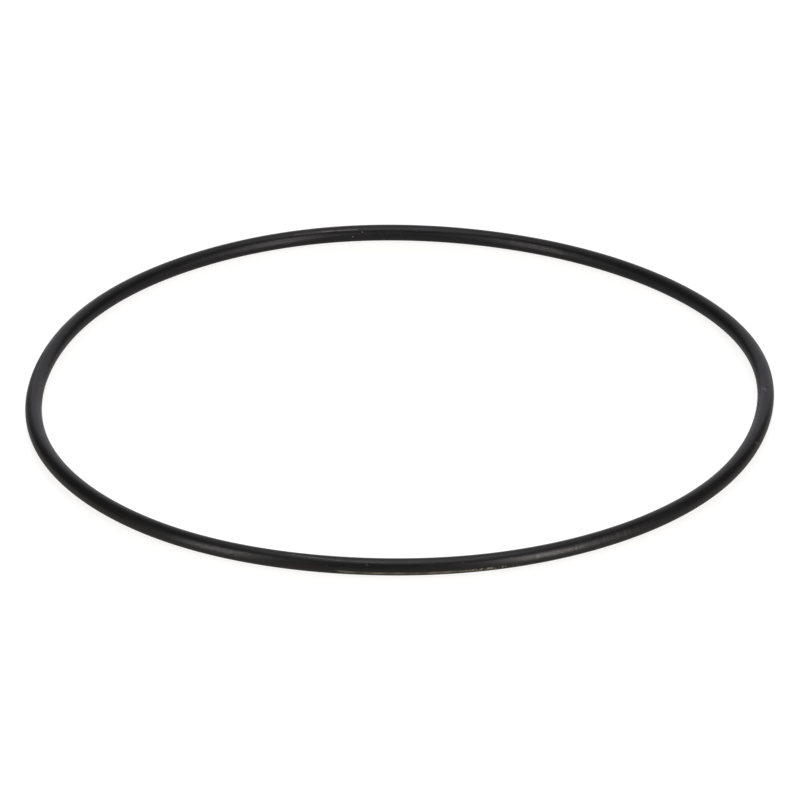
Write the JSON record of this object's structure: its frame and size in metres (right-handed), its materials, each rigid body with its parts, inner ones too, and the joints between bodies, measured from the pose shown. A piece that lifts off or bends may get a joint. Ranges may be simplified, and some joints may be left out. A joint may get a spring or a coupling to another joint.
{
  "type": "rubber o-ring",
  "caption": "Large thin black rubber sealing ring with a round section and a fine trimmed mould seam round its inside and outside.",
  "frame": {"origin": "centre of the ring on its parting plane, halfway up the section", "axes": "+Z along the ring's axis, at right angles to the table it lies on; the ring is the same all the way round, so +X is any radius"},
  "size_m": [0.1592, 0.1592, 0.0036],
  "materials": {
    "black_rubber": "semi-gloss moulded"
  },
  "bodies": {
    "root": {"o_ring": "black_rubber"}
  },
  "joints": []
}
